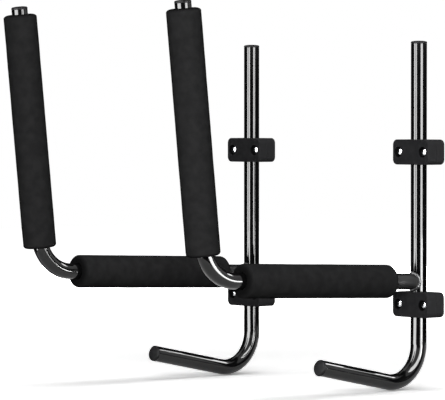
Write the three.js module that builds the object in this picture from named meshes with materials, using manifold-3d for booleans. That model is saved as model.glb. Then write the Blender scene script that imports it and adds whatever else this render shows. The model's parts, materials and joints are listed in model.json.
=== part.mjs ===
// Kayak wall rack: two hangers with padded arms that swing on split bearing blocks.
// Millimetres, +Z up. The wall is the plane y = 0, and the arms reach out along -Y.
// x = 0 lies midway between the hangers, and z = 0 midway between the upper and lower blocks.

import * as THREE from 'three';
import { mergeVertices } from 'three/addons/utils/BufferGeometryUtils.js';
import loadManifold from 'manifold-3d';

const wasm = await loadManifold();
wasm.setup();

// Sizes of the pair and its clearances
const hangerSpacing = 406.4;
const seatGap = 0.3;
const bearingClearance = 0.35;
const cutOverrun = 10;

// Sizes of the steel tube, the same for the upright and the arm
const tubeRadius = 12.7;
const tubeWall = 1.6;
const tubeSides = 24;
const bendSteps = 8;

// Sizes of the bearing blocks, which clamp round the upright
const blockSpacing = 242;
const blockWidth = 81;
const blockHeight = 40;
const blockFrontDepth = 19;
const blockBackDepth = 18;
const blockCornerRadius = 8.5;
const blockEdgeRound = 1.6;
const partingGap = 0.3;
const boreLeadIn = 1.2;
const roundSteps = 2;

// Sizes of the screws and their holes
const screwOffset = 27.7;
const screwHoleRadius = 4.4;
const screwShankRadius = 3.9;
const screwTipSetback = 1.5;
const screwTipLength = 3;
const screwHeadRadius = 7;
const screwHeadHeight = 5;
const screwHeadRim = 1.8;
const counterboreRadius = 9;
const counterboreDepth = 6.5;
const recessSpan = 8;
const recessSlot = 1.9;
const recessDepth = 2.6;
const screwSides = 12;

// Sizes of the upright, whose lower end is bent forward into the paddle hook
const uprightRise = 377.5;
const hookDrop = 170;
const hookBendRadius = 57;
const hookLength = 213.5;
const hookRiseAngle = THREE.MathUtils.degToRad(11.5);

// Sizes of the arm, whose outer end is bent up into the prong
const armLength = 442;
const armBendRadius = 65;
const armRiseAngle = THREE.MathUtils.degToRad(2);
const prongLength = 418.5;
const prongLeanAngle = THREE.MathUtils.degToRad(6);

// Sizes of the weld that joins the arm to the upright
const weldRadius = 3.2;
const weldRestGap = 0.4;
const weldRipples = 20;
const weldSides = 6;
const rippleShare = 0.07;

// Sizes of the foam sleeves
const foamRadius = 26.4;
const foamEndRound = 2.4;
const foamSides = 26;
const armFoamStart = 66;
const armFoamLength = 306;
const prongFoamStart = 38;
const prongBareTop = 8;

// Sizes of the plugs in the open tube ends
const capFlangeRadius = 12.9;
const capFlangeThickness = 3.6;
const capEdgeRound = 2.2;
const capCrown = 0.9;
const capStemClearance = 0.4;
const capStemLength = 14;
const capSides = 20;

// Places that follow from the sizes above
const blockDepth = blockFrontDepth + blockBackDepth;
const prongFoamLength = prongLength - prongFoamStart - prongBareTop;
const lowerBlockTop = (blockHeight - blockSpacing) / 2;
const armRootHeight = lowerBlockTop + weldRestGap + weldRadius + tubeRadius;
const polygonSwell = 1 / Math.cos(Math.PI / tubeSides);

// Turns a closed three.js geometry into a solid that can be cut
function solidOf(geometry) {
  const plain = geometry.clone();
  plain.deleteAttribute('normal');
  plain.deleteAttribute('uv');
  const merged = mergeVertices(plain);
  return new wasm.Manifold(new wasm.Mesh({
    numProp: 3,
    vertProperties: new Float32Array(merged.attributes.position.array),
    triVerts: new Uint32Array(merged.index.array),
  }));
}

// Turns a cut solid back into a three.js geometry
function geometryOf(solid) {
  const mesh = solid.getMesh();
  const geometry = new THREE.BufferGeometry();
  const corners = new Float32Array(mesh.vertProperties);
  geometry.setAttribute('position', new THREE.BufferAttribute(corners, mesh.numProp));
  geometry.setIndex(new THREE.BufferAttribute(new Uint32Array(mesh.triVerts), 1));
  geometry.computeVertexNormals();
  return geometry;
}

// A point in a hanger's own plane: reach is the way out from the upright's axis, height is up
function planePoint(reach, height) {
  return new THREE.Vector3(0, -blockBackDepth - reach, height);
}

// A direction in the same plane, as an angle up from straight out
function planeDirection(angle) {
  return new THREE.Vector3(0, -Math.cos(angle), Math.sin(angle));
}

// The centre line of a tube with one bend: a straight leg, a round bend and a second leg.
// Each leg is a single step, and the bend is cut into equal ones.
class BentTubePath extends THREE.Curve {
  constructor(start, corner, end, bendRadius) {
    super();
    const before = corner.clone().sub(start).normalize();
    const after = end.clone().sub(corner).normalize();
    const turn = before.angleTo(after);
    const setback = bendRadius * Math.tan(turn / 2);
    const inward = after.clone().addScaledVector(before, -Math.cos(turn)).normalize();
    const bendStart = corner.clone().addScaledVector(before, -setback);
    const bendCentre = bendStart.clone().addScaledVector(inward, bendRadius);
    this.stations = [{ point: start, tangent: before }];
    for (let step = 0; step <= bendSteps; step += 1) {
      const angle = turn * step / bendSteps;
      const point = bendCentre.clone()
        .addScaledVector(inward, -bendRadius * Math.cos(angle))
        .addScaledVector(before, bendRadius * Math.sin(angle));
      const tangent = before.clone()
        .multiplyScalar(Math.cos(angle))
        .addScaledVector(inward, Math.sin(angle));
      this.stations.push({ point, tangent });
    }
    this.stations.push({ point: end, tangent: after });
    this.steps = this.stations.length - 1;
  }

  stationAt(share) {
    return this.stations[Math.round(share * this.steps)];
  }

  getPoint(share, target = new THREE.Vector3()) {
    return target.copy(this.stationAt(share).point);
  }

  getPointAt(share, target = new THREE.Vector3()) {
    return target.copy(this.stationAt(share).point);
  }

  getTangentAt(share, target = new THREE.Vector3()) {
    return target.copy(this.stationAt(share).tangent);
  }
}

// A round section swept along a path, hollow where a bore radius is given
function sweptRound(path, radius, boreRadius = 0) {
  const section = new THREE.Shape();
  section.absarc(0, 0, radius, 0, 2 * Math.PI, false);
  if (boreRadius > 0) {
    const bore = new THREE.Path();
    bore.absarc(0, 0, boreRadius, 0, 2 * Math.PI, true);
    section.holes.push(bore);
  }
  return new THREE.ExtrudeGeometry(section, {
    steps: path.steps,
    extrudePath: path,
    bevelEnabled: false,
    curveSegments: tubeSides / 2,
  });
}

// A solid round bar between two points
function roundBar(from, to, radius, sides) {
  const along = to.clone().sub(from);
  const bar = new THREE.CylinderGeometry(radius, radius, along.length(), sides);
  const up = new THREE.Vector3(0, 1, 0);
  bar.applyQuaternion(new THREE.Quaternion().setFromUnitVectors(up, along.clone().normalize()));
  const middle = from.clone().add(to).multiplyScalar(1 / 2);
  bar.translate(middle.x, middle.y, middle.z);
  return bar;
}

// A quarter of a circle as profile points, from one angle to another
function arcPoints(centreRadius, centreHeight, radius, fromAngle, toAngle, steps) {
  const points = [];
  for (let step = 0; step <= steps; step += 1) {
    const angle = fromAngle + (toAngle - fromAngle) * step / steps;
    points.push(new THREE.Vector2(
      centreRadius + radius * Math.cos(angle),
      centreHeight + radius * Math.sin(angle),
    ));
  }
  return points;
}

// Centre lines of the two tubes
const uprightCorner = planePoint(0, armRootHeight - hookDrop);
const hookEnd = uprightCorner.clone().addScaledVector(planeDirection(hookRiseAngle), hookLength);
const uprightTop = planePoint(0, armRootHeight + uprightRise);
const uprightPath = new BentTubePath(uprightTop, uprightCorner, hookEnd, hookBendRadius);

const armRoot = planePoint(0, armRootHeight);
const armDirection = planeDirection(armRiseAngle);
const armCorner = armRoot.clone().addScaledVector(armDirection, armLength);
const prongDirection = planeDirection(Math.PI / 2 - prongLeanAngle);
const prongTop = armCorner.clone().addScaledVector(prongDirection, prongLength);
const armPath = new BentTubePath(armRoot, armCorner, prongTop, armBendRadius);

// The upright with its paddle hook, one hollow tube
function uprightGeometry() {
  return sweptRound(uprightPath, tubeRadius, tubeRadius - tubeWall);
}

// A bar as thick as the upright and its gap, which copes whatever meets the upright
function uprightCutter() {
  const reachUp = 2 * tubeRadius + cutOverrun;
  return solidOf(roundBar(
    planePoint(0, armRootHeight - reachUp),
    planePoint(0, armRootHeight + reachUp),
    (tubeRadius + seatGap) * polygonSwell,
    tubeSides,
  ));
}

// The arm with its prong, one hollow tube coped round the upright at its root
function armGeometry() {
  const tube = solidOf(sweptRound(armPath, tubeRadius, tubeRadius - tubeWall));
  return geometryOf(tube.subtract(uprightCutter()));
}

// The weld: a rippled bead along the saddle where the arm meets the upright
function weldGeometry() {
  const across = new THREE.Vector3(1, 0, 0);
  const armUp = new THREE.Vector3().crossVectors(armDirection, across).negate();
  const saddlePoint = (angle) => {
    const side = tubeRadius * Math.sin(angle);
    const rise = tubeRadius * Math.cos(angle);
    const front = Math.hypot(rise, weldRadius);
    const along = (front + rise * Math.sin(armRiseAngle)) / Math.cos(armRiseAngle);
    return armRoot.clone()
      .addScaledVector(armDirection, along)
      .addScaledVector(across, side)
      .addScaledVector(armUp, rise);
  };
  const stationCount = 2 * weldRipples;
  const angleStep = 2 * Math.PI / stationCount;
  const positions = [];
  const triangles = [];
  for (let station = 0; station < stationCount; station += 1) {
    const centre = saddlePoint(station * angleStep);
    const ahead = saddlePoint((station + 1) * angleStep);
    const behind = saddlePoint((station - 1) * angleStep);
    const tangent = ahead.sub(behind).normalize();
    const outward = centre.clone().sub(armRoot);
    outward.addScaledVector(tangent, -outward.dot(tangent)).normalize();
    const sideways = new THREE.Vector3().crossVectors(tangent, outward);
    const swell = station % 2 === 0 ? 1 : 1 - 2 * rippleShare;
    for (let side = 0; side < weldSides; side += 1) {
      const angle = 2 * Math.PI * side / weldSides;
      const point = centre.clone()
        .addScaledVector(outward, weldRadius * swell * Math.cos(angle))
        .addScaledVector(sideways, weldRadius * swell * Math.sin(angle));
      positions.push(point.x, point.y, point.z);
      const next = (station + 1) % stationCount;
      const over = (side + 1) % weldSides;
      const here = station * weldSides + side;
      const hereOver = station * weldSides + over;
      const there = next * weldSides + side;
      const thereOver = next * weldSides + over;
      triangles.push(here, hereOver, there, there, hereOver, thereOver);
    }
  }
  const ring = new THREE.BufferGeometry();
  ring.setAttribute('position', new THREE.Float32BufferAttribute(positions, 3));
  ring.setIndex(triangles);
  const armCutter = solidOf(roundBar(
    armRoot,
    armRoot.clone().addScaledVector(armDirection, 2 * tubeRadius + cutOverrun),
    (tubeRadius + seatGap) * polygonSwell,
    tubeSides,
  ));
  return geometryOf(solidOf(ring).subtract(uprightCutter()).subtract(armCutter));
}

// A foam sleeve on a straight stretch: a round sleeve with soft end edges, whose bore follows the
// arm's own centre line, so that it clears the start of the bend that it covers
function sleeveGeometry(origin, direction, start, length) {
  const quarter = Math.PI / 2;
  const innerEdge = foamRadius - foamEndRound;
  const profile = [
    new THREE.Vector2(0, 0),
    ...arcPoints(innerEdge, foamEndRound, foamEndRound, -quarter, 0, roundSteps),
    ...arcPoints(innerEdge, length - foamEndRound, foamEndRound, 0, quarter, roundSteps),
    new THREE.Vector2(0, length),
  ];
  const sleeve = new THREE.LatheGeometry(profile, foamSides);
  const up = new THREE.Vector3(0, 1, 0);
  sleeve.applyQuaternion(new THREE.Quaternion().setFromUnitVectors(up, direction));
  const foot = origin.clone().addScaledVector(direction, start);
  sleeve.translate(foot.x, foot.y, foot.z);
  const bore = solidOf(sweptRound(armPath, tubeRadius + seatGap));
  return geometryOf(solidOf(sleeve).subtract(bore));
}

// A plug for a tube end: a crowned flange over a round stem, standing up along +Y
function capGeometry() {
  const quarter = Math.PI / 2;
  const stemRadius = (tubeRadius - tubeWall) / polygonSwell - capStemClearance;
  const flangeTop = seatGap + capFlangeThickness;
  const edgeCentre = capFlangeRadius - capEdgeRound;
  const profile = [
    new THREE.Vector2(0, -capStemLength),
    new THREE.Vector2(stemRadius, -capStemLength),
    new THREE.Vector2(stemRadius, seatGap),
    new THREE.Vector2(capFlangeRadius, seatGap),
    ...arcPoints(edgeCentre, flangeTop - capEdgeRound, capEdgeRound, 0, quarter, roundSteps),
    new THREE.Vector2(0, flangeTop + capCrown),
  ];
  return new THREE.LatheGeometry(profile, capSides);
}

// The rounded outline of a block, drawn smaller by the round of its edges
function blockOutline() {
  const halfWidth = blockWidth / 2 - blockEdgeRound;
  const halfHeight = blockHeight / 2 - blockEdgeRound;
  const corner = blockCornerRadius - blockEdgeRound;
  const quarter = Math.PI / 2;
  const outline = new THREE.Shape();
  outline.absarc(halfWidth - corner, halfHeight - corner, corner, 0, quarter, false);
  outline.absarc(corner - halfWidth, halfHeight - corner, corner, quarter, 2 * quarter, false);
  outline.absarc(corner - halfWidth, corner - halfHeight, corner, 2 * quarter, 3 * quarter, false);
  outline.absarc(halfWidth - corner, corner - halfHeight, corner, 3 * quarter, 4 * quarter, false);
  return outline;
}

// A whole block with its bore for the upright, its screw holes and counterbores.
// Its own frame has the wall at y = 0 and the block's middle at x = 0, z = 0.
function wholeBlock() {
  const body = new THREE.ExtrudeGeometry(blockOutline(), {
    depth: blockDepth - 2 * blockEdgeRound,
    bevelThickness: blockEdgeRound,
    bevelSize: blockEdgeRound,
    bevelSegments: roundSteps,
    curveSegments: roundSteps,
  });
  body.translate(0, 0, blockEdgeRound);
  body.rotateX(Math.PI / 2);
  const boreRadius = (tubeRadius + bearingClearance) * polygonSwell;
  const halfHeight = blockHeight / 2;
  let block = solidOf(body).subtract(solidOf(roundBar(
    planePoint(0, -halfHeight - cutOverrun),
    planePoint(0, halfHeight + cutOverrun),
    boreRadius,
    tubeSides,
  )));
  for (const end of [-1, 1]) {
    const mouth = new THREE.CylinderGeometry(boreRadius + boreLeadIn, boreRadius, boreLeadIn, tubeSides);
    mouth.rotateX(end * Math.PI / 2);
    mouth.translate(0, -blockBackDepth, end * (halfHeight - boreLeadIn / 2));
    block = block.subtract(solidOf(mouth));
    const holeX = end * screwOffset;
    const hole = roundBar(
      new THREE.Vector3(holeX, cutOverrun, 0),
      new THREE.Vector3(holeX, -blockDepth - cutOverrun, 0),
      screwHoleRadius,
      screwSides,
    );
    const counterbore = roundBar(
      new THREE.Vector3(holeX, counterboreDepth - blockDepth, 0),
      new THREE.Vector3(holeX, -blockDepth - cutOverrun, 0),
      counterboreRadius,
      tubeSides,
    );
    block = block.subtract(solidOf(hole)).subtract(solidOf(counterbore));
  }
  return block;
}

// One half of a block: what lies between two depths off the wall
function blockHalf(nearDepth, farDepth) {
  const slab = new THREE.BoxGeometry(
    blockWidth + cutOverrun,
    farDepth - nearDepth,
    blockHeight + cutOverrun,
  );
  slab.translate(0, -(nearDepth + farDepth) / 2, 0);
  return geometryOf(wholeBlock().intersect(solidOf(slab)));
}

function frontHalfGeometry() {
  return blockHalf(blockBackDepth + partingGap / 2, blockDepth + cutOverrun);
}

function backHalfGeometry() {
  return blockHalf(-cutOverrun, blockBackDepth - partingGap / 2);
}

// A domed screw with a cross recess. Its own frame has the head's seat at y = 0 and the head
// standing up along +Y.
function screwGeometry() {
  const shankLength = blockDepth - counterboreDepth - screwTipSetback;
  const domeRise = screwHeadHeight - screwHeadRim;
  const domeRadius = (screwHeadRadius ** 2 + domeRise ** 2) / (2 * domeRise);
  const domeCentre = screwHeadHeight - domeRadius;
  const domeStart = Math.acos(screwHeadRadius / domeRadius);
  const profile = [
    new THREE.Vector2(0, -shankLength),
    new THREE.Vector2(screwShankRadius, screwTipLength - shankLength),
    new THREE.Vector2(screwShankRadius, seatGap),
    new THREE.Vector2(screwHeadRadius, seatGap),
    ...arcPoints(0, domeCentre, domeRadius, domeStart, Math.PI / 2, roundSteps),
  ];
  let screw = solidOf(new THREE.LatheGeometry(profile, screwSides));
  for (const turn of [0, Math.PI / 2]) {
    const slot = new THREE.BoxGeometry(recessSpan, recessDepth + cutOverrun, recessSlot);
    slot.rotateY(turn);
    slot.translate(0, screwHeadHeight - recessDepth + (recessDepth + cutOverrun) / 2, 0);
    screw = screw.subtract(solidOf(slot));
  }
  return geometryOf(screw);
}

// Finishes seen on the real pieces
const finishes = {
  tube: { color: 0x101112, roughness: 0.22, metalness: 0.5 },
  weld: { color: 0x3a3b3d, roughness: 0.45, metalness: 0.6 },
  foam: { color: 0x19191a, roughness: 0.95, metalness: 0 },
  cap: { color: 0x2b2c2e, roughness: 0.6, metalness: 0 },
  block: { color: 0x1d1e20, roughness: 0.55, metalness: 0 },
  screw: { color: 0xc4c6c9, roughness: 0.3, metalness: 1 },
};

function pieceMesh(name, geometry, finish) {
  const mesh = new THREE.Mesh(geometry, new THREE.MeshStandardMaterial(finishes[finish]));
  mesh.name = name;
  return mesh;
}

// A plug seated in a tube end, with its flange facing the given way
function seatedCap(name, place, direction) {
  const cap = pieceMesh(name, capGeometry(), 'cap');
  cap.quaternion.setFromUnitVectors(new THREE.Vector3(0, 1, 0), direction);
  cap.position.copy(place);
  return cap;
}

// One bearing block: its two halves and the two screws through them
function blockGroup(name) {
  const group = new THREE.Group();
  group.add(pieceMesh(`${name}_front`, frontHalfGeometry(), 'block'));
  group.add(pieceMesh(`${name}_back`, backHalfGeometry(), 'block'));
  for (const [side, end] of [['near', -1], ['far', 1]]) {
    const screw = pieceMesh(`${name}_screw_${side}`, screwGeometry(), 'screw');
    screw.rotation.z = Math.PI;
    screw.position.set(end * screwOffset, counterboreDepth - blockDepth, 0);
    group.add(screw);
  }
  return group;
}

// One whole hanger, in the plane x = 0
function hangerGroup(name) {
  const group = new THREE.Group();
  group.add(pieceMesh(`${name}_upright_tube`, uprightGeometry(), 'tube'));
  group.add(pieceMesh(`${name}_arm_tube`, armGeometry(), 'tube'));
  group.add(pieceMesh(`${name}_arm_weld`, weldGeometry(), 'weld'));
  group.add(pieceMesh(
    `${name}_arm_foam`,
    sleeveGeometry(armRoot, armDirection, armFoamStart, armFoamLength),
    'foam',
  ));
  group.add(pieceMesh(
    `${name}_prong_foam`,
    sleeveGeometry(armCorner, prongDirection, prongFoamStart, prongFoamLength),
    'foam',
  ));
  group.add(seatedCap(`${name}_upright_cap`, uprightTop, new THREE.Vector3(0, 0, 1)));
  group.add(seatedCap(`${name}_prong_cap`, prongTop, prongDirection));
  group.add(seatedCap(`${name}_hook_cap`, hookEnd, planeDirection(hookRiseAngle)));
  for (const [level, end] of [['lower', -1], ['upper', 1]]) {
    const block = blockGroup(`${name}_${level}_block`);
    block.position.z = end * blockSpacing / 2;
    group.add(block);
  }
  return group;
}

const rack = new THREE.Group();
for (const [side, end] of [['left', -1], ['right', 1]]) {
  const hanger = hangerGroup(side);
  hanger.position.x = end * hangerSpacing / 2;
  rack.add(hanger);
}

export default rack;
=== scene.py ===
"""Kayak wall rack: the finished look of two hangers with foam-padded arms in split bearing blocks.

Metres, +Z up. The wall is the plane y = 0 and the arms reach out along -Y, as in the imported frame.
"""

import json
import math

import bmesh
import bpy
from mathutils import Matrix, Vector, noise


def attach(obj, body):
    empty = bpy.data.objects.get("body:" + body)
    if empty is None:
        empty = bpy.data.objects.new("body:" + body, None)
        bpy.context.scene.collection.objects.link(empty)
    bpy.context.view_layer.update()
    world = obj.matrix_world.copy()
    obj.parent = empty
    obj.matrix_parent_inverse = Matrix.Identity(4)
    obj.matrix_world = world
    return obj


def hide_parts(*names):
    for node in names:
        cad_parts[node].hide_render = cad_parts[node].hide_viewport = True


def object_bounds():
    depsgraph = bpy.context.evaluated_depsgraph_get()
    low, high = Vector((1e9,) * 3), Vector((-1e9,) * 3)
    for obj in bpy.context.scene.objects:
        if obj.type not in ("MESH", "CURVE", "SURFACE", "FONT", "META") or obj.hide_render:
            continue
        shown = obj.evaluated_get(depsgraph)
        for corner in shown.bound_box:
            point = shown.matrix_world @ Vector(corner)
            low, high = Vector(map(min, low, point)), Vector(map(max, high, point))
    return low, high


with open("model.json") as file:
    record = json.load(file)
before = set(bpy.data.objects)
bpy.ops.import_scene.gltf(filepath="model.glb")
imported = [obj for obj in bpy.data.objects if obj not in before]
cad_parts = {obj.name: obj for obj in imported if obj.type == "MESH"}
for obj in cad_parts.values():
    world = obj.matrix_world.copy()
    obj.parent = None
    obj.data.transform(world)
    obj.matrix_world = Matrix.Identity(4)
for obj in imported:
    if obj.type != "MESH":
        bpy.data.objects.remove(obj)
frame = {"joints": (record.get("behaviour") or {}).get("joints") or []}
cad_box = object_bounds()

QUARTER = math.pi / 2
FULL_TURN = 2 * math.pi

# Meshing: edges sharper than the keen angle stay sharp, and every cutter overruns what it cuts
KEEN_ANGLE = math.radians(35)
ALL_SMOOTH = math.pi
MERGE_DISTANCE = 1e-6
ROUND_SIDES = 48
ARC_STEPS = 6
CUT_OVERRUN = 0.005

# The gap that keeps fitted parts from sharing a face
SEAT_GAP = 0.0003

# Steel tube, the same for the uprights and the arms. The margin is a short ring on each side of a
# bend, so that the smooth shading of the bend doesn't run on into the straights.
TUBE_RADIUS = 0.0127
TUBE_WALL = 0.0016
TUBE_SIDES = 64
BEND_STEPS = 28
BEND_MARGIN = 0.0015

# Upright with its paddle hook
WALL_OFFSET = 0.018
ARM_ROOT_HEIGHT = -0.0847
UPRIGHT_RISE = 0.3775
HOOK_DROP = 0.170
HOOK_BEND_RADIUS = 0.057
HOOK_LENGTH = 0.2135
HOOK_RISE = math.radians(11.5)

# Arm with its prong
ARM_LENGTH = 0.442
ARM_BEND_RADIUS = 0.065
ARM_RISE = math.radians(2)
PRONG_LENGTH = 0.4185
PRONG_LEAN = math.radians(6)

# The arm's root is drawn in at its sides, so that it seats on the front of the upright
ROOT_SQUEEZE = 0.18
ROOT_SQUEEZE_LENGTH = 0.030
ROOT_STEPS = 8

# The root's enamel is dull and greyed with a painted sheen out to this distance from the upright's
# axis, fading at the end, and up and down to this share of the tube's radius, so that the painted
# sheen leaves its upper and lower limbs dark
DULL_SHEEN_END = 0.075
DULL_SHEEN_FADE = 0.02
DULL_SHEEN_HEIGHT = 0.93
DULL_SHEEN_EDGE = 0.2

# Weld bead round the root of the arm
WELD_RADIUS = 0.0032
WELD_RIPPLES = 24
WELD_STEPS_PER_RIPPLE = 5
WELD_SIDES = 14
RIPPLE_SHARE = 0.13
RIPPLE_LEAN = 0.7
WELD_UNEVENNESS = 0.2
WELD_WAVES = 180

# Foam sleeves, with a wider shoulder at the far end than at the foot. Waves are per metre.
FOAM_RADIUS = 0.0264
FOAM_END_ROUND = 0.0052
FOAM_FAR_SPREAD = 0.0095
FOAM_FAR_STEPS = 9
FOAM_MOUTH_ROUND = 0.0022
FOAM_RING_SPACING = 0.004
FOAM_SIDES = 96
FOAM_KEEN_ANGLE = math.radians(60)
FOAM_UNEVENNESS = 0.00018
FOAM_BROAD_WAVES = 32
FOAM_SMALL_WAVES = 140
FOAM_SMALL_SHARE = 0.5
ARM_FOAM_START = 0.066
ARM_FOAM_LENGTH = 0.306
PRONG_FOAM_START = 0.038
PRONG_BARE_TOP = 0.008

# Plugs in the open tube ends
CAP_RADIUS = 0.0129
CAP_THICKNESS = 0.0036
CAP_EDGE_ROUND = 0.0022
CAP_CROWN = 0.0009
CAP_STEM_RADIUS = 0.0105
CAP_STEM_LENGTH = 0.014

# Bearing blocks. The painted light on a side wall fades out at the mark's depth.
BLOCK_SPACING = 0.242
BLOCK_WIDTH = 0.081
BLOCK_HEIGHT = 0.040
BLOCK_FRONT_DEPTH = 0.019
BLOCK_BACK_DEPTH = 0.018
BLOCK_CORNER_RADIUS = 0.0085
BLOCK_CORNER_STEPS = 10
BLOCK_EDGE_ROUND = 0.0016
BLOCK_EDGE_STEPS = 5
PARTING_GAP = 0.0003
PARTING_CHAMFER = 0.0003
BORE_RADIUS = 0.01305
BORE_LEAD_IN = 0.0012
SIDE_MARK_DEPTH = 0.006

# Screws and their holes
SCREW_OFFSET = 0.0277
SCREW_HOLE_RADIUS = 0.0044
SCREW_SHANK_RADIUS = 0.0039
SCREW_SHANK_LENGTH = 0.029
SCREW_TIP_LENGTH = 0.003
SCREW_HEAD_RADIUS = 0.0059
SCREW_HEAD_HEIGHT = 0.005
SCREW_HEAD_RIM = 0.0024
SCREW_DOME_STEPS = 8
COUNTERBORE_RADIUS = 0.0082
COUNTERBORE_DEPTH = 0.0065
COUNTERBORE_CHAMFER = 0.0006
RECESS_SPAN = 0.0084
RECESS_SLOT = 0.0021
RECESS_DEPTH = 0.0026
RECESS_TAPER = 0.55

# The part of a pattern's range that is stretched, since noise keeps near its middle
COLOUR_SPAN = (0.35, 0.65)
VALUE_SPAN = (0.3, 0.7)


# Mesh helpers

def piece_from(name, shape, material=None, keen_angle=KEEN_ANGLE):
    """A new object at the origin from a bmesh, smooth but for edges sharper than the keen angle."""
    bmesh.ops.remove_doubles(shape, verts=shape.verts, dist=MERGE_DISTANCE)
    bmesh.ops.recalc_face_normals(shape, faces=shape.faces)
    mesh = bpy.data.meshes.new(name)
    shape.to_mesh(mesh)
    shape.free()
    mesh.shade_smooth()
    mesh.set_sharp_from_angle(angle=keen_angle)
    piece = bpy.data.objects.new(name, mesh)
    bpy.context.scene.collection.objects.link(piece)
    if material:
        mesh.materials.append(material)
    return piece


def standing(foot, direction):
    """The placing that stands a shape made along +Z on a foot point, pointing in a direction."""
    return Matrix.Translation(foot) @ Vector(direction).to_track_quat("Z", "Y").to_matrix().to_4x4()


def arc(centre, radius, start, end, steps=ARC_STEPS):
    """Profile points on a round stretch, about a (radius, height) centre."""
    angles = [start + (end - start) * step / steps for step in range(steps + 1)]
    return [(centre[0] + radius * math.cos(a), centre[1] + radius * math.sin(a)) for a in angles]


def turned(profile, placing, sides=ROUND_SIDES):
    """A bmesh of a profile of (radius, height) points turned about its axis."""
    shape = bmesh.new()
    points = [shape.verts.new((radius, 0, height)) for radius, height in profile]
    edges = [shape.edges.new(pair) for pair in zip(points, points[1:])]
    bmesh.ops.spin(
        shape, geom=points + edges, cent=(0, 0, 0), axis=(0, 0, 1),
        angle=FULL_TURN, steps=sides, use_merge=True,
    )
    shape.transform(placing)
    return shape


def loop_edges(loop):
    """The edges between the points of a loop, each once."""
    points = set(loop)
    touching = dict.fromkeys(edge for vert in loop for edge in vert.link_edges)
    return [edge for edge in touching if points.issuperset(edge.verts)]


def pulled(shape, edges, travel):
    """Extrudes a loop of edges along a straight line and returns the new loop."""
    new = bmesh.ops.extrude_edge_only(shape, edges=edges)["geom"]
    verts = [item for item in new if isinstance(item, bmesh.types.BMVert)]
    bmesh.ops.translate(shape, verts=verts, vec=travel)
    return loop_edges(verts)


def bent_skin(start, corner, end, bend_radius):
    """The outer skin of a tube with one bend, as a bmesh, and the loop of points at its start."""
    before = (corner - start).normalized()
    after = (end - corner).normalized()
    turn = before.angle(after)
    setback = bend_radius * math.tan(turn / 2)
    bend_start = corner - before * setback
    bend_end = corner + after * setback
    inward = (after - before * math.cos(turn)).normalized()
    shape = bmesh.new()
    loop = bmesh.ops.create_circle(
        shape, segments=TUBE_SIDES, radius=TUBE_RADIUS, matrix=standing(start, before),
    )["verts"]
    edges = pulled(shape, shape.edges[:], bend_start - start - before * BEND_MARGIN)
    edges = pulled(shape, edges, before * BEND_MARGIN)
    bent = bmesh.ops.spin(
        shape, geom=edges, cent=bend_start + inward * bend_radius, axis=before.cross(after),
        angle=turn, steps=BEND_STEPS,
    )["geom_last"]
    edges = [item for item in bent if isinstance(item, bmesh.types.BMEdge)]
    edges = pulled(shape, edges, after * BEND_MARGIN)
    pulled(shape, edges, end - bend_end - after * BEND_MARGIN)
    return shape, loop


def add_wall(shape, thickness):
    """Gives an open skin its wall, inwards."""
    bmesh.ops.recalc_face_normals(shape, faces=shape.faces)
    bmesh.ops.solidify(shape, geom=shape.faces[:], thickness=thickness)


def round_off(shape, edges, reach, steps):
    """Rounds edges off over a reach, or chamfers them with a single step."""
    bmesh.ops.bevel(
        shape, geom=edges, offset=reach, segments=steps, affect="EDGES", profile=0.5, material=-1,
    )


def cut_out(piece, cutters):
    """Takes each cutter's shape out of the piece and deletes the cutter."""
    for cutter in cutters:
        cut = piece.modifiers.new("cut", "BOOLEAN")
        cut.operation = "DIFFERENCE"
        cut.solver = "EXACT"
        cut.object = cutter
    bpy.context.view_layer.update()
    seen = piece.evaluated_get(bpy.context.evaluated_depsgraph_get())
    cut_mesh = bpy.data.meshes.new_from_object(seen)
    piece.modifiers.clear()
    piece.data = cut_mesh
    for cutter in cutters:
        bpy.data.objects.remove(cutter)
    cut_mesh.shade_smooth()
    cut_mesh.set_sharp_from_angle(angle=KEEN_ANGLE)
    even = piece.modifiers.new("even faces", "WEIGHTED_NORMAL")
    even.keep_sharp = True


def mark_points(piece, mark, amount):
    """Stores an amount from 0 to 1 on each point of a piece, for its finish to read."""
    marks = piece.data.attributes.new(mark, "FLOAT", "POINT")
    for vert, stored in zip(piece.data.vertices, marks.data):
        stored.value = min(1, max(0, amount(vert.co)))


def settle(piece, body, node):
    """Lets a finished piece ride on its body in place of its CAD node, which is hidden."""
    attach(piece, body)
    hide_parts(node)


# Shader nodes

def grey(level):
    """A level as a colour with full alpha."""
    return (level, level, level, 1)


def set_inputs(node, values):
    """Sets the named inputs of a node."""
    for socket, value in (values or {}).items():
        node.inputs[socket].default_value = value


def add_node(tree, kind, values=None):
    """A new node of a kind, with values for its inputs."""
    node = tree.nodes.new(kind)
    set_inputs(node, values)
    return node


def emptied_tree(owner):
    """The node tree of a material or world, with nothing in it."""
    owner.use_nodes = True
    owner.node_tree.nodes.clear()
    return owner.node_tree


def principled(name, values=None):
    """A new material, and its Principled shader with the given constant values."""
    material = bpy.data.materials.new(name)
    material.use_nodes = True
    shader = material.node_tree.nodes["Principled BSDF"]
    set_inputs(shader, values)
    return material, shader


def pattern(shader, kind, scale, detail):
    """A noise or cell pattern in the piece's own coordinates, its scale in waves per metre."""
    tree = shader.id_data
    place = add_node(tree, "ShaderNodeTexCoord")
    texture = add_node(tree, kind, {"Scale": scale, "Detail": detail})
    tree.links.new(place.outputs["Object"], texture.inputs["Vector"])
    return texture


def clouds(shader, scale, detail=2):
    """The output of a noise pattern."""
    return pattern(shader, "ShaderNodeTexNoise", scale, detail).outputs["Fac"]


def spread_colour(shader, source, dark, light):
    """Feeds the base colour with a pattern, stretched between two linear colours."""
    tree = shader.id_data
    ramp = add_node(tree, "ShaderNodeValToRGB")
    for element, position, colour in zip(ramp.color_ramp.elements, COLOUR_SPAN, (dark, light)):
        element.position = position
        element.color = (*colour, 1)
    tree.links.new(source, ramp.inputs["Fac"])
    tree.links.new(ramp.outputs["Color"], shader.inputs["Base Color"])


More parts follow.
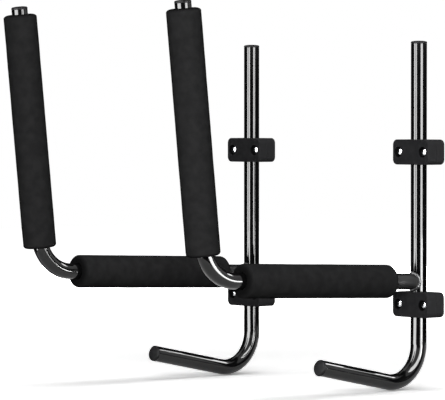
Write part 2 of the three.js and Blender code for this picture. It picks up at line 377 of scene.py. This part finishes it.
def spread_value(shader, source, socket, low, high):
    """Feeds a socket with a pattern, stretched between two values."""
    tree = shader.id_data
    start, end = VALUE_SPAN
    spans = {"From Min": start, "From Max": end, "To Min": low, "To Max": high}
    reach = add_node(tree, "ShaderNodeMapRange", spans)
    tree.links.new(source, reach.inputs["Value"])
    tree.links.new(reach.outputs["Result"], shader.inputs[socket])


def roughen(shader, source, depth, strength, under=None):
    """Raises a pattern on the surface as a bump of a depth in metres, over another bump if given."""
    tree = shader.id_data
    bump = add_node(tree, "ShaderNodeBump", {"Distance": depth, "Strength": strength})
    tree.links.new(source, bump.inputs["Height"])
    if under:
        tree.links.new(under.outputs["Normal"], bump.inputs["Normal"])
    tree.links.new(bump.outputs["Normal"], shader.inputs["Normal"])
    return bump


def blend_marked(shader, mark, socket, value):
    """Turns a socket's pattern to one colour or value where the piece's points carry a mark."""
    tree = shader.id_data
    target = shader.inputs[socket]
    place = add_node(tree, "ShaderNodeAttribute")
    place.attribute_name = mark
    marked = (*value, 1) if isinstance(value, tuple) else grey(value)
    mix = add_node(tree, "ShaderNodeMixRGB", {"Color2": marked})
    tree.links.new(place.outputs["Fac"], mix.inputs["Fac"])
    tree.links.new(target.links[0].from_socket, mix.inputs["Color1"])
    tree.links.new(mix.outputs["Color"], target)


def light_path_mix(tree, seen, unseen):
    """Mixes two shaders: one for what the camera, gloss and glass see, one for all other light."""
    path = add_node(tree, "ShaderNodeLightPath")
    is_seen = path.outputs["Is Camera Ray"]
    for ray in ("Is Glossy Ray", "Is Transmission Ray"):
        either = add_node(tree, "ShaderNodeMath")
        either.operation = "MAXIMUM"
        tree.links.new(is_seen, either.inputs[0])
        tree.links.new(path.outputs[ray], either.inputs[1])
        is_seen = either.outputs[0]
    mix = add_node(tree, "ShaderNodeMixShader")
    tree.links.new(is_seen, mix.inputs["Fac"])
    tree.links.new(unseen.outputs[0], mix.inputs[1])
    tree.links.new(seen.outputs[0], mix.inputs[2])
    return mix.outputs[0]


# Finishes

def gloss_black_enamel():
    """Black enamel on the steel tubes, with the faint orange peel of sprayed paint."""
    material, shader = principled("gloss_black_enamel")
    cloud = clouds(shader, scale=45)
    peel = clouds(shader, scale=90, detail=0)
    spread_colour(shader, cloud, dark=(0.003, 0.003, 0.0032), light=(0.005, 0.005, 0.0052))
    spread_value(shader, cloud, "Roughness", low=0.03, high=0.07)
    spread_value(shader, cloud, "Specular IOR Level", low=0.34, high=0.36)
    # Painted sheen: near the root the base colour is greyed to stand in for a grey reflection, and the
    # enamel is made rougher and duller
    blend_marked(shader, "dull_root_and_sheen", "Base Color", (0.017, 0.017, 0.0174))
    blend_marked(shader, "dull_root_and_sheen", "Roughness", 0.46)
    blend_marked(shader, "dull_root_and_sheen", "Specular IOR Level", 0.1)
    roughen(shader, peel, depth=0.00002, strength=0.02)
    return material


def enamelled_weld():
    """The same enamel lying thicker and greyer over the rippled weld."""
    material, shader = principled("enamelled_weld", {"Metallic": 0.25})
    cloud = clouds(shader, scale=600)
    spread_colour(shader, cloud, dark=(0.012, 0.012, 0.0124), light=(0.07, 0.07, 0.0714))
    spread_value(shader, cloud, "Roughness", low=0.22, high=0.4)
    roughen(shader, cloud, depth=0.0001, strength=0.3)
    return material


def black_foam():
    """Closed-cell foam: matte, faintly mottled, with fine cells all over and painted shade at its ends.
    """
    material, shader = principled("black_foam", {"Specular IOR Level": 0, "Roughness": 0.95})
    mottle = clouds(shader, scale=70, detail=4)
    cells = pattern(shader, "ShaderNodeTexVoronoi", scale=750, detail=2).outputs["Distance"]
    grit = clouds(shader, scale=260, detail=5)
    spread_colour(shader, mottle, dark=(0.02, 0.02, 0.0205), light=(0.026, 0.026, 0.0265))
    # Painted shade: the sleeve's ends are darkened
    blend_marked(shader, "shaded_end", "Base Color", (0.008, 0.008, 0.0083))
    celled = roughen(shader, cells, depth=0.0004, strength=0.22)
    roughen(shader, grit, depth=0.0006, strength=0.22, under=celled)
    return material


def moulded_nylon():
    """Nylon of the bearing blocks: a fine spark-worn grain, painted light on the side walls and painted
    shade in the counterbores.
    """
    material, shader = principled("moulded_nylon", {"Specular IOR Level": 0.004})
    cloud = clouds(shader, scale=90, detail=3)
    fine = clouds(shader, scale=1900)
    spread_colour(shader, cloud, dark=(0.022, 0.022, 0.0235), light=(0.028, 0.028, 0.0294))
    # Painted light: the side walls are paler than the front face, as if lit from the side
    blend_marked(shader, "lit_side_wall", "Base Color", (0.037, 0.037, 0.0388))
    # Painted shade: the inside of each counterbore is darkened
    blend_marked(shader, "counterbore", "Base Color", (0.004, 0.004, 0.0042))
    spread_value(shader, cloud, "Roughness", low=0.44, high=0.56)
    roughen(shader, fine, depth=0.00012, strength=0.35)
    return material


def plug_plastic():
    """The plain dark plastic of the end plugs."""
    material, shader = principled("plug_plastic", {"Specular IOR Level": 0.05})
    cloud = clouds(shader, scale=160, detail=3)
    fine = clouds(shader, scale=1400)
    spread_colour(shader, cloud, dark=(0.008, 0.008, 0.0084), light=(0.016, 0.016, 0.0167))
    spread_value(shader, cloud, "Roughness", low=0.38, high=0.5)
    roughen(shader, fine, depth=0.0001, strength=0.3)
    return material


def zinc_plate():
    """Bright zinc plate on the screws, a little streaked, with painted shade in the recess."""
    material, shader = principled("zinc_plate", {"Metallic": 1})
    cloud = clouds(shader, scale=700, detail=3)
    spread_colour(shader, cloud, dark=(0.42, 0.43, 0.45), light=(0.58, 0.59, 0.6))
    # Painted shade: the cross recess is darkened
    blend_marked(shader, "recess", "Base Color", (0.01, 0.01, 0.01))
    spread_value(shader, cloud, "Roughness", low=0.12, high=0.22)
    roughen(shader, cloud, depth=0.00003, strength=0.2)
    return material


# Tubes and weld

def upright_point(hanger_x, height):
    """A point on the axis of a hanger's upright."""
    return Vector((hanger_x, -WALL_OFFSET, height))


def rising(angle):
    """A direction in a hanger's own plane, as an angle up from straight out."""
    return Vector((0, -math.cos(angle), math.sin(angle)))


def hanger_places(hanger_x):
    """The corners and ends of both centre lines of a hanger."""
    hook_corner = upright_point(hanger_x, ARM_ROOT_HEIGHT - HOOK_DROP)
    arm_root = upright_point(hanger_x, ARM_ROOT_HEIGHT)
    arm_corner = arm_root + rising(ARM_RISE) * ARM_LENGTH
    return {
        "upright_top": upright_point(hanger_x, ARM_ROOT_HEIGHT + UPRIGHT_RISE),
        "hook_corner": hook_corner,
        "hook_end": hook_corner + rising(HOOK_RISE) * HOOK_LENGTH,
        "arm_root": arm_root,
        "arm_corner": arm_corner,
        "prong_top": arm_corner + rising(QUARTER - PRONG_LEAN) * PRONG_LENGTH,
    }


def upright_pipe(name, places, material):
    """The upright and its paddle hook, one bent tube."""
    corners = [places[corner] for corner in ("upright_top", "hook_corner", "hook_end")]
    shape, _ = bent_skin(*corners, HOOK_BEND_RADIUS)
    add_wall(shape, TUBE_WALL)
    return piece_from(name, shape, material)


def root_width(along):
    """The width of the arm at a distance out from the upright's axis, as a share of its height."""
    share = min(1, max(0, (along - TUBE_RADIUS) / ROOT_SQUEEZE_LENGTH))
    return 1 - ROOT_SQUEEZE * (1 - share * share * (3 - 2 * share))


def arm_pipe(name, places, material):
    """The arm and its prong, one bent tube whose root is drawn in and coped to the upright."""
    root = places["arm_root"]
    along = rising(ARM_RISE)
    start = root + along * (TUBE_RADIUS + ROOT_SQUEEZE_LENGTH)
    shape, loop = bent_skin(start, places["arm_corner"], places["prong_top"], ARM_BEND_RADIUS)
    edges = loop_edges(loop)
    for _ in range(ROOT_STEPS):
        edges = pulled(shape, edges, along * -ROOT_SQUEEZE_LENGTH / ROOT_STEPS)
    for vert in shape.verts:
        out = (vert.co - root).dot(along)
        vert.co.x = root.x + (vert.co.x - root.x) * root_width(out)
    for vert in {vert for edge in edges for vert in edge.verts}:
        side = vert.co.x - root.x
        front = math.sqrt((TUBE_RADIUS + SEAT_GAP) ** 2 - side ** 2)
        vert.co += along * (front + vert.co.y - root.y) / math.cos(ARM_RISE)
    add_wall(shape, TUBE_WALL)
    piece = piece_from(name, shape, material)
    arm_up = rising(ARM_RISE + QUARTER)

    def dull_sheen(point):
        near_root = (DULL_SHEEN_END - (point - root).dot(along)) / DULL_SHEEN_FADE
        off_limb = DULL_SHEEN_HEIGHT - abs((point - root).dot(arm_up)) / TUBE_RADIUS
        return min(1, near_root) * min(1, max(0, off_limb / DULL_SHEEN_EDGE))

    # The mark carries the root's dullness and its painted sheen, which leaves the limbs dark
    mark_points(piece, "dull_root_and_sheen", dull_sheen)
    return piece


def saddle_point(root, angle):
    """A point on the seam where the arm's surface meets the upright's."""
    side = TUBE_RADIUS * (1 - ROOT_SQUEEZE) * math.sin(angle)
    rise = TUBE_RADIUS * math.cos(angle)
    front = math.sqrt(TUBE_RADIUS ** 2 - side ** 2)
    along = (front + rise * math.sin(ARM_RISE)) / math.cos(ARM_RISE)
    return root + rising(ARM_RISE) * along + Vector((side, 0, 0)) + rising(ARM_RISE + QUARTER) * rise


def weld_bead(name, places, material):
    """A bead laid round the seam in overlapping ripples."""
    root = places["arm_root"]
    count = WELD_RIPPLES * WELD_STEPS_PER_RIPPLE
    shape = bmesh.new()
    rings = []
    for step in range(count):
        angle = FULL_TURN * step / count
        here = saddle_point(root, angle)
        ahead = saddle_point(root, angle + FULL_TURN / count)
        behind = saddle_point(root, angle - FULL_TURN / count)
        phase = (step % WELD_STEPS_PER_RIPPLE) / WELD_STEPS_PER_RIPPLE
        swell = 1 - RIPPLE_SHARE * (1 - math.sin(math.pi * phase ** RIPPLE_LEAN))
        swell *= 1 + WELD_UNEVENNESS * noise.noise(here * WELD_WAVES)
        placing = standing(here, ahead - behind)
        rings.append(bmesh.ops.create_circle(
            shape, segments=WELD_SIDES, radius=WELD_RADIUS * swell, matrix=placing,
        )["verts"])
    for ring, following in zip(rings, rings[1:] + rings[:1]):
        bmesh.ops.bridge_loops(shape, edges=loop_edges(ring) + loop_edges(following))
    return piece_from(name, shape, material, ALL_SMOOTH)


# Foam sleeves and plugs

def foam_sleeve(name, foot, direction, length, material):
    """A foam sleeve with soft ends, rounded mouths round the tube and a slightly uneven wall."""
    bore = TUBE_RADIUS + SEAT_GAP
    rings = round(length / FOAM_RING_SPACING)
    shoulder = FOAM_RADIUS - FOAM_END_ROUND
    mouth = bore + FOAM_MOUTH_ROUND
    bottom, top = FOAM_END_ROUND, length - FOAM_END_ROUND
    wall = [(FOAM_RADIUS, bottom + (top - bottom) * ring / rings) for ring in range(1, rings)]
    far_end = [
        (FOAM_RADIUS - FOAM_FAR_SPREAD * (1 - radius), top + FOAM_END_ROUND * height)
        for radius, height in arc((0, 0), 1, 0, QUARTER, FOAM_FAR_STEPS)
    ]
    profile = [
        *arc((mouth, FOAM_MOUTH_ROUND), FOAM_MOUTH_ROUND, math.pi, 3 * QUARTER),
        *arc((shoulder, bottom), FOAM_END_ROUND, -QUARTER, 0),
        *wall,
        *far_end,
        *arc((mouth, length - FOAM_MOUTH_ROUND), FOAM_MOUTH_ROUND, QUARTER, math.pi),
    ]
    shape = turned(profile + profile[:1], standing(foot, direction), FOAM_SIDES)
    for vert in shape.verts:
        from_foot = vert.co - foot
        outward = from_foot - direction * from_foot.dot(direction)
        if outward.length > shoulder:
            broad = noise.noise(vert.co * FOAM_BROAD_WAVES)
            small = noise.noise(vert.co * FOAM_SMALL_WAVES) * FOAM_SMALL_SHARE
            vert.co += outward.normalized() * FOAM_UNEVENNESS * (broad + small)
    piece = piece_from(name, shape, material, FOAM_KEEN_ANGLE)

    def nearness_to_end(point):
        along = (point - foot).dot(direction)
        return 1 - min(along, length - along) / FOAM_END_ROUND

    # Painted shade: darker towards each end of the sleeve, standing in for the shadow on its end faces
    mark_points(piece, "shaded_end", nearness_to_end)
    return piece


def end_plug(name, tube_end, direction, material):
    """A plug pressed into a tube end: a crowned flange on a round stem."""
    flange_top = SEAT_GAP + CAP_THICKNESS
    edge = (CAP_RADIUS - CAP_EDGE_ROUND, flange_top - CAP_EDGE_ROUND)
    profile = [
        (0, -CAP_STEM_LENGTH),
        (CAP_STEM_RADIUS, -CAP_STEM_LENGTH),
        (CAP_STEM_RADIUS, SEAT_GAP),
        (CAP_RADIUS, SEAT_GAP),
        *arc(edge, CAP_EDGE_ROUND, 0, QUARTER),
        (CAP_RADIUS / 2, flange_top + CAP_CROWN * 3 / 4),
        (0, flange_top + CAP_CROWN),
    ]
    return piece_from(name, turned(profile, standing(tube_end, direction)), material)


# Bearing blocks and screws

def bore_cutter(hanger_x, block_z):
    """The bore for the upright with its flared mouths."""
    half = BLOCK_HEIGHT / 2
    flare = BORE_RADIUS + BORE_LEAD_IN
    profile = [
        (0, -half - CUT_OVERRUN),
        (flare, -half - CUT_OVERRUN),
        (flare, -half),
        (BORE_RADIUS, -half + BORE_LEAD_IN),
        (BORE_RADIUS, half - BORE_LEAD_IN),
        (flare, half),
        (flare, half + CUT_OVERRUN),
        (0, half + CUT_OVERRUN),
    ]
    foot = Vector((hanger_x, -WALL_OFFSET, block_z))
    return piece_from("bore cutter", turned(profile, standing(foot, (0, 0, 1)), TUBE_SIDES))


def screw_hole_cutter(screw_x, block_z):
    """A screw's hole with its counterbore, whose mouth is chamfered."""
    depth = BLOCK_FRONT_DEPTH + BLOCK_BACK_DEPTH
    mouth = COUNTERBORE_RADIUS + COUNTERBORE_CHAMFER
    profile = [
        (0, -depth - CUT_OVERRUN),
        (SCREW_HOLE_RADIUS, -depth - CUT_OVERRUN),
        (SCREW_HOLE_RADIUS, -COUNTERBORE_DEPTH),
        (COUNTERBORE_RADIUS, -COUNTERBORE_DEPTH),
        (COUNTERBORE_RADIUS, -COUNTERBORE_CHAMFER),
        (mouth, 0),
        (mouth, CUT_OVERRUN),
        (0, CUT_OVERRUN),
    ]
    foot = Vector((screw_x, -depth, block_z))
    return piece_from("hole cutter", turned(profile, standing(foot, (0, -1, 0))))


def block_half(name, hanger_x, block_z, is_front, material):
    """One moulded half of a bearing block, cut for the upright and the two screws."""
    outward = -1 if is_front else 1
    depth = (BLOCK_FRONT_DEPTH if is_front else BLOCK_BACK_DEPTH) - PARTING_GAP / 2
    middle = -WALL_OFFSET + outward * (PARTING_GAP + depth) / 2
    face = middle + outward * depth / 2
    shape = bmesh.new()
    bmesh.ops.create_cube(shape, size=1, matrix=Matrix.Diagonal((BLOCK_WIDTH, depth, BLOCK_HEIGHT, 1)))
    along = [edge for edge in shape.edges if abs(edge.verts[0].co.y - edge.verts[1].co.y) > depth / 2]
    round_off(shape, along, BLOCK_CORNER_RADIUS, BLOCK_CORNER_STEPS)
    rims = {1: [], -1: []}
    for edge in shape.edges:
        near, far = edge.verts[0].co.y, edge.verts[1].co.y
        if abs(near - far) < depth / 2:
            rims[1 if near > 0 else -1].append(edge)
    round_off(shape, rims[outward], BLOCK_EDGE_ROUND, BLOCK_EDGE_STEPS)
    parting = [edge for edge in rims[-outward] if edge.is_valid]
    round_off(shape, parting, PARTING_CHAMFER, 1)
    bmesh.ops.translate(shape, verts=shape.verts, vec=(hanger_x, middle, block_z))
    piece = piece_from(name, shape, material)
    screw_places = [(hanger_x + end * SCREW_OFFSET, block_z) for end in (-1, 1)]
    hole_cutters = [screw_hole_cutter(*place) for place in screw_places]
    cut_out(piece, [bore_cutter(hanger_x, block_z), *hole_cutters])

    def nearness_to_side(point):
        from_end = BLOCK_WIDTH / 2 - abs(point.x - hanger_x)
        from_top = BLOCK_HEIGHT / 2 - abs(point.z - block_z)
        behind_face = abs(point.y - face) / BLOCK_EDGE_ROUND
        return (1 - min(from_end, from_top) / SIDE_MARK_DEPTH) * min(1, behind_face)

    def counterbore_shade(point):
        nearest = min(math.dist((point.x, point.z), place) for place in screw_places)
        return nearest < COUNTERBORE_RADIUS + SEAT_GAP and abs(point.y - face) > COUNTERBORE_CHAMFER / 2

    # Painted light on the side walls, fading in behind the front face
    mark_points(piece, "lit_side_wall", nearness_to_side)
    # Painted shade inside the counterbores
    mark_points(piece, "counterbore", counterbore_shade)
    return piece


def recess_cutter(head_top, turn):
    """One blade of the cross recess, narrower at its bottom."""
    blade = bmesh.new()
    height = RECESS_DEPTH + CUT_OVERRUN
    bmesh.ops.create_cube(blade, size=1, matrix=Matrix.Diagonal((RECESS_SPAN, RECESS_SLOT, height, 1)))
    bottom = [vert for vert in blade.verts if vert.co.z < 0]
    bmesh.ops.scale(blade, verts=bottom, vec=(RECESS_TAPER, RECESS_TAPER, 1))
    bmesh.ops.translate(blade, verts=blade.verts, vec=(0, 0, height / 2 - RECESS_DEPTH))
    bmesh.ops.rotate(blade, verts=blade.verts, matrix=Matrix.Rotation(turn, 3, "Z"))
    blade.transform(standing(head_top, (0, -1, 0)))
    return piece_from("recess cutter", blade)


def block_screw(name, screw_x, block_z, material):
    """A domed screw with a cross recess, seated in its counterbore."""
    seat = Vector((screw_x, COUNTERBORE_DEPTH - BLOCK_FRONT_DEPTH - BLOCK_BACK_DEPTH, block_z))
    dome_rise = SCREW_HEAD_HEIGHT - SCREW_HEAD_RIM
    dome_radius = (SCREW_HEAD_RADIUS ** 2 + dome_rise ** 2) / (2 * dome_rise)
    dome_start = math.acos(SCREW_HEAD_RADIUS / dome_radius)
    dome_middle = SCREW_HEAD_HEIGHT - dome_radius
    profile = [
        (0, -SCREW_SHANK_LENGTH),
        (SCREW_SHANK_RADIUS, SCREW_TIP_LENGTH - SCREW_SHANK_LENGTH),
        (SCREW_SHANK_RADIUS, SEAT_GAP),
        (SCREW_HEAD_RADIUS, SEAT_GAP),
        *arc((0, dome_middle), dome_radius, dome_start, QUARTER, SCREW_DOME_STEPS),
    ]
    out = Vector((0, -1, 0))
    piece = piece_from(name, turned(profile, standing(seat, out)), material)
    head_top = seat + out * SCREW_HEAD_HEIGHT
    cut_out(piece, [recess_cutter(head_top, turn) for turn in (0, QUARTER)])

    def recess_shade(point):
        rise = (point - seat).dot(out)
        aside = (point - seat - out * rise).length
        if aside > RECESS_SPAN / 2 or rise < SEAT_GAP:
            return 0
        dome = dome_middle + math.sqrt(dome_radius ** 2 - aside ** 2)
        return (dome - rise) / RECESS_DEPTH

    # Painted shade, deeper towards the bottom of the cross recess
    mark_points(piece, "recess", recess_shade)
    return piece


# The rack

def build_hanger(side, hanger_x, finishes):
    """One swinging hanger: tubes, weld, foam sleeves and plugs."""
    places = hanger_places(hanger_x)
    tube, weld, foam, cap = (finishes[finish] for finish in ("tube", "weld", "foam", "cap"))
    along, up, prong_up, hook_up = map(rising, (ARM_RISE, QUARTER, QUARTER - PRONG_LEAN, HOOK_RISE))
    prong_foam_length = PRONG_LENGTH - PRONG_FOAM_START - PRONG_BARE_TOP
    arm_foam_foot = places["arm_root"] + along * ARM_FOAM_START
    prong_foam_foot = places["arm_corner"] + prong_up * PRONG_FOAM_START
    pieces = {
        "upright_tube": upright_pipe(f"{side}_upright_pipe", places, tube),
        "arm_tube": arm_pipe(f"{side}_arm_pipe", places, tube),
        "arm_weld": weld_bead(f"{side}_weld_bead", places, weld),
        "arm_foam": foam_sleeve(f"{side}_arm_sleeve", arm_foam_foot, along, ARM_FOAM_LENGTH, foam),
        "prong_foam": foam_sleeve(
            f"{side}_prong_sleeve", prong_foam_foot, prong_up, prong_foam_length, foam,
        ),
        "upright_cap": end_plug(f"{side}_upright_plug", places["upright_top"], up, cap),
        "prong_cap": end_plug(f"{side}_prong_plug", places["prong_top"], prong_up, cap),
        "hook_cap": end_plug(f"{side}_hook_plug", places["hook_end"], hook_up, cap),
    }
    for node, piece in pieces.items():
        settle(piece, f"{side}_hanger", f"{side}_{node}")


def build_blocks(side, hanger_x, finishes):
    """The two bearing blocks of a hanger with their screws."""
    for level, end in (("lower", -1), ("upper", 1)):
        block_z = end * BLOCK_SPACING / 2
        node = f"{side}_{level}_block"
        for half, is_front in (("front", True), ("back", False)):
            piece = block_half(f"{node}_{half}_half", hanger_x, block_z, is_front, finishes["block"])
            settle(piece, "wall_blocks", f"{node}_{half}")
        for place, way in (("near", -1), ("far", 1)):
            screw_x = hanger_x + way * SCREW_OFFSET
            piece = block_screw(f"{node}_{place}_bolt", screw_x, block_z, finishes["screw"])
            settle(piece, "wall_blocks", f"{node}_screw_{place}")


# Studio

CAMERA_PLACE = Vector((3.9543, -3.6017, 0.1819))
CAMERA_TURN = math.radians(49.75)
CAMERA_PITCH = math.radians(1.516)
CAMERA_LENS = 263.97
SENSOR_WIDTH = 36
CAMERA_REACH = 100

# The floor is over-white, so that it clips to plain white but keeps the shadow under the rack, and
# glows away from the rack, where the lamps no longer reach. What bounces off it stays faint.
FLOOR_DROP = 0.001
FLOOR_SIZE = 12
FLOOR_PALENESS = 1.82
FLOOR_BOUNCE = 0.15
FLOOR_NEAR_GLOW = 0.03
FLOOR_FAR_GLOW = 1.0
FLOOR_FADE_START = 0.6
FLOOR_FADE_END = 2.0
ROOM_LIGHT = 0.05

# Cloths that only gloss reflects. Each lies on the floor from its foot out, and hangs down behind.
# Turns are in degrees to the right of the camera's side.
CLOTH_STEPS = 60
CLOTH_FOOT = 0.8
STRIP_DISTANCE = 3.4
STRIP_TOP = 5.0
STRIP_GLOW = 22
STRIPS = (  # name, first turn, last turn
    ("left_strip", -72, -30),
    ("right_strip", 23, 53),
)
DRAPE_DISTANCE = 10.0
DRAPE_GLOW = 0.015
DRAPES = (  # name, first turn, last turn, distance of the foot, height of the top
    ("left_drape", -90, -72, CLOTH_FOOT, 0.52),
    ("middle_drape", -30, 23, CLOTH_FOOT, 0.52),
    ("right_drape", 53, 122, 1.1, 0.52),
    ("back_drape", 122, 270, 0.5, 12.0),
)

# A small dark card beside each upright, which stands out from the wall between these bounds
CARD_ASIDE = 0.097
CARD_REACH = (-0.004, 0.055)
CARD_HEIGHTS = (-0.25, 0.12)

# Lamps that light the shapes, and panels that show only as the bright lines on bends and hooks
RACK_MIDDLE = Vector((0, -0.2, 0))
BENDS_MIDDLE = Vector((0, -0.45, -0.1))
LAMP_DISTANCE = 4
LAMPS = (  # name, turn, height, side, brightness
    ("key", -9, 0.6, 2.0, 11.4),
    ("fill", 42, 0.6, 2.0, 1.5),
    ("back", 180, 0.1, 2.4, 3.5),
)
TOP_PLACE = Vector((0.1, -0.1, 3.6))
TOP_SIDE = 2.2
TOP_BRIGHTNESS = 3.7
PANELS = (  # name, place, what it faces, width, height, brightness
    ("low_panel", (1.16, 0.265, -0.175), BENDS_MIDDLE, 0.555, 0.24, 38),
    ("low_edge_panel", (1.031, 0.45, -0.16), BENDS_MIDDLE, 0.105, 0.28, 75),
    ("rim_panel", (0.5, 2.25, 1.56), RACK_MIDDLE, 0.9, 0.38, 15),
)


def place_camera():
    """The one camera that comes closest to the photograph."""
    camera = bpy.data.cameras.new("camera")
    camera.lens = CAMERA_LENS
    camera.sensor_width = SENSOR_WIDTH
    camera.sensor_fit = "HORIZONTAL"
    camera.clip_end = CAMERA_REACH
    holder = bpy.data.objects.new("camera", camera)
    holder.location = CAMERA_PLACE
    holder.rotation_euler = (QUARTER - CAMERA_PITCH, 0, CAMERA_TURN)
    bpy.context.scene.collection.objects.link(holder)
    bpy.context.scene.camera = holder


def around(turn, distance, height):
    """A point beside the rack, turned in degrees to the right of the camera's side."""
    heading = CAMERA_TURN + math.radians(turn)
    return Vector((math.sin(heading) * distance, -math.cos(heading) * distance, height))


def softbox(name, place, target, width, height, brightness, gloss_only):
    """A rectangular lamp of a given surface brightness, for gloss alone or for all but gloss."""
    lamp = bpy.data.lights.new(name, "AREA")
    lamp.shape = "RECTANGLE"
    lamp.size = width
    lamp.size_y = height
    lamp.energy = brightness * math.pi * width * height
    holder = bpy.data.objects.new(name, lamp)
    holder.location = place
    holder.rotation_euler = (target - place).to_track_quat("-Z", "Y").to_euler()
    holder.visible_camera = False
    holder.visible_diffuse = not gloss_only
    holder.visible_glossy = gloss_only
    bpy.context.scene.collection.objects.link(holder)


def light_room():
    """Even, plain room light, with a white background wherever the room is seen."""
    world = bpy.data.worlds.new("room")
    tree = emptied_tree(world)
    seen = add_node(tree, "ShaderNodeBackground", {"Color": grey(1)})
    unseen = add_node(tree, "ShaderNodeBackground", {"Color": grey(1), "Strength": ROOM_LIGHT})
    output = add_node(tree, "ShaderNodeOutputWorld")
    tree.links.new(light_path_mix(tree, seen, unseen), output.inputs["Surface"])
    bpy.context.scene.world = world


def lay_floor(floor_z):
    """A white floor that keeps the rack's shadow and glows away from the rack."""
    material = bpy.data.materials.new("pale_floor")
    tree = emptied_tree(material)
    matte = add_node(tree, "ShaderNodeBsdfDiffuse", {"Color": grey(FLOOR_PALENESS)})
    bounce = add_node(tree, "ShaderNodeBsdfDiffuse", {"Color": grey(FLOOR_BOUNCE)})
    place = add_node(tree, "ShaderNodeTexCoord")
    away = add_node(tree, "ShaderNodeVectorMath")
    away.operation = "LENGTH"
    fade = add_node(tree, "ShaderNodeMapRange", {
        "From Min": FLOOR_FADE_START, "From Max": FLOOR_FADE_END,
        "To Min": FLOOR_NEAR_GLOW, "To Max": FLOOR_FAR_GLOW,
    })
    fade.interpolation_type = "SMOOTHSTEP"
    glow = add_node(tree, "ShaderNodeEmission")
    both = add_node(tree, "ShaderNodeAddShader")
    output = add_node(tree, "ShaderNodeOutputMaterial")
    tree.links.new(place.outputs["Object"], away.inputs[0])
    tree.links.new(away.outputs["Value"], fade.inputs["Value"])
    tree.links.new(fade.outputs["Result"], glow.inputs["Strength"])
    tree.links.new(matte.outputs[0], both.inputs[0])
    tree.links.new(glow.outputs[0], both.inputs[1])
    tree.links.new(light_path_mix(tree, both, bounce), output.inputs["Surface"])
    shape = bmesh.new()
    bmesh.ops.create_grid(shape, x_segments=1, y_segments=1, size=FLOOR_SIZE / 2)
    floor = piece_from("floor", shape, material)
    floor.location.z = floor_z


def show_to_gloss(name, shape, glow):
    """Makes a cloth or card of a bmesh, which nothing but gloss sees."""
    material = bpy.data.materials.new(f"{name}_cloth")
    tree = emptied_tree(material)
    emission = add_node(tree, "ShaderNodeEmission", {"Strength": glow})
    output = add_node(tree, "ShaderNodeOutputMaterial")
    tree.links.new(emission.outputs[0], output.inputs["Surface"])
    cloth = piece_from(name, shape, material)
    cloth.visible_camera = False
    cloth.visible_diffuse = False
    cloth.visible_shadow = False
    cloth.visible_transmission = False


def hang_cloth(name, outline, first_turn, last_turn, glow):
    """A cloth for the gloss: an outline of (distance, height) points swung round the rack."""
    shape = bmesh.new()
    points = [shape.verts.new(around(first_turn, distance, height)) for distance, height in outline]
    edges = [shape.edges.new(pair) for pair in zip(points, points[1:])]
    bmesh.ops.spin(
        shape, geom=points + edges, cent=(0, 0, 0), axis=(0, 0, 1),
        angle=math.radians(last_turn - first_turn), steps=CLOTH_STEPS,
    )
    show_to_gloss(name, shape, glow)


def stand_card(side, hanger_x):
    """A small dark card that keeps the low panels out of an upright's gloss."""
    near, far = CARD_REACH
    low, high = CARD_HEIGHTS
    placing = Matrix.Translation((hanger_x + CARD_ASIDE, (near + far) / 2, (low + high) / 2))
    placing @= Matrix.Rotation(QUARTER, 4, "Y") @ Matrix.Diagonal((high - low, far - near, 1, 1))
    shape = bmesh.new()
    bmesh.ops.create_grid(shape, x_segments=1, y_segments=1, size=0.5, matrix=placing)
    show_to_gloss(f"{side}_card", shape, DRAPE_GLOW)


def hang_cloths(floor_z):
    """Two bright cloths that stand as strips in the gloss tubes, with dark ones between and behind."""
    on_floor = floor_z + FLOOR_DROP / 2
    for name, first, last in STRIPS:
        outline = [(CLOTH_FOOT, on_floor), (STRIP_DISTANCE, on_floor), (STRIP_DISTANCE, STRIP_TOP)]
        hang_cloth(name, outline, first, last, STRIP_GLOW)
    for name, first, last, foot, top in DRAPES:
        outline = [(foot, on_floor), (DRAPE_DISTANCE, on_floor), (DRAPE_DISTANCE, top)]
        hang_cloth(name, outline, first, last, DRAPE_GLOW)


def light_rack():
    """Broad soft lamps for the shapes, and small panels for the bright lines on bends and hooks."""
    for name, turn, height, side, brightness in LAMPS:
        place = around(turn, LAMP_DISTANCE, height)
        softbox(name, place, RACK_MIDDLE, side, side, brightness, gloss_only=False)
    softbox("top", TOP_PLACE, RACK_MIDDLE, TOP_SIDE, TOP_SIDE, TOP_BRIGHTNESS, gloss_only=False)
    for name, place, target, width, height, brightness in PANELS:
        softbox(name, Vector(place), target, width, height, brightness, gloss_only=True)


finishes = {
    "tube": gloss_black_enamel(),
    "weld": enamelled_weld(),
    "foam": black_foam(),
    "cap": plug_plastic(),
    "block": moulded_nylon(),
    "screw": zinc_plate(),
}
for joint in frame["joints"]:
    side, hanger_x = joint["name"].split("_")[0], joint["pos_m"][0]
    build_hanger(side, hanger_x, finishes)
    build_blocks(side, hanger_x, finishes)
    stand_card(side, hanger_x)

floor_level = cad_box[0].z - FLOOR_DROP
place_camera()
light_room()
lay_floor(floor_level)
hang_cloths(floor_level)
light_rack()

scene = bpy.context.scene
scene.view_settings.view_transform = "Standard"
